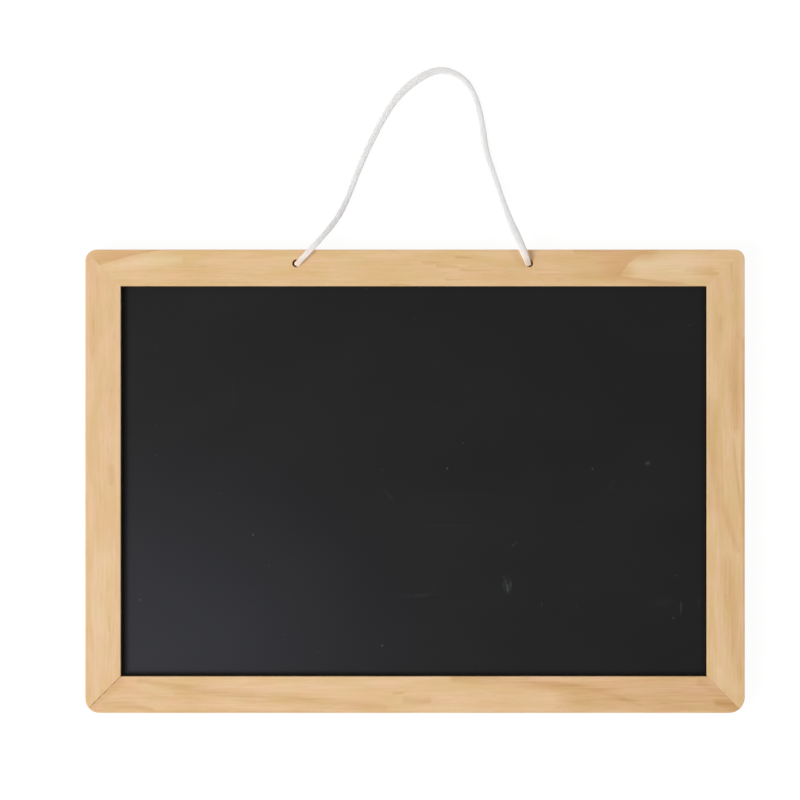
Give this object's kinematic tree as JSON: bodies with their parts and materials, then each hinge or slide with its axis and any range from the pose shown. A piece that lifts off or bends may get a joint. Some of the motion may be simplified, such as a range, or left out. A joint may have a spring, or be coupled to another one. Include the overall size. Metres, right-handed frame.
{
  "type": "writing board",
  "caption": "Flat writing board: a matte black panel held in a grooved, mitred pine frame with rounded corners, and a white cord loop knotted through the upper rail to hang it by.",
  "frame": {"origin": "centre of the frame's back, on the surface that the board lies on", "axes": "+X along the long side, +Y towards the rail with the cord, +Z out of the black face"},
  "size_m": [0.37, 0.3636, 0.0184],
  "materials": {
    "pine": "sanded pine, clear matt",
    "chalk_black": "hardboard with a matt black chalk lacquer on its face",
    "nail_steel": "bright strip steel",
    "white_cord": "soft braided white cord"
  },
  "bodies": {
    "board": {"top_rail": "pine", "bottom_rail": "pine", "left_stile": "pine", "right_stile": "pine", "writing_panel": "chalk_black", "corner_v_nails": "nail_steel", "left_knot": "white_cord", "right_knot": "white_cord"},
    "hanging_loop": {"hanging_cord": "white_cord"}
  },
  "joints": [
    {"name": "loop_swing", "type": "hinge", "parent": "board", "child": "hanging_loop", "pos_m": [0, 0.12225, 0.0139], "axis": [1, 0, 0], "range_deg": [0, 150]}
  ]
}
